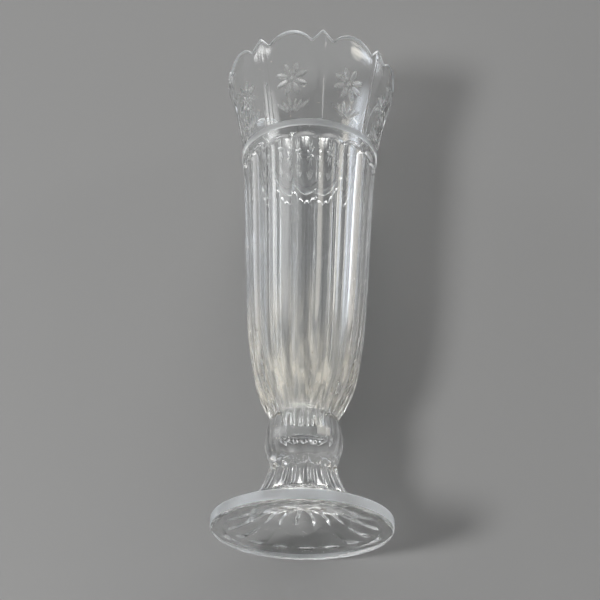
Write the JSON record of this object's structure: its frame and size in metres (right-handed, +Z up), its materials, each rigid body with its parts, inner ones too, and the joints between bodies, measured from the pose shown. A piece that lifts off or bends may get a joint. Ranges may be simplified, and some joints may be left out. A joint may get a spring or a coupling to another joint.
{
  "type": "glass bud vase",
  "caption": "Tall footed bud vase in clear pressed glass, with a fluted bowl, a flared mouth with a scalloped rim, a faceted knop and a round foot.",
  "frame": {"origin": "centre of the plane that the foot rests on", "axes": "+Z up along the vase's axis, towards the rim; -Y towards one of the rim's pointed lobes"},
  "size_m": [0.0874, 0.0874, 0.251],
  "materials": {
    "clear_glass": "clear polished pressed glass with softly frosted engraving"
  },
  "bodies": {
    "root": {"foot": "clear_glass", "stem": "clear_glass", "knop": "clear_glass", "bowl": "clear_glass"}
  },
  "joints": []
}
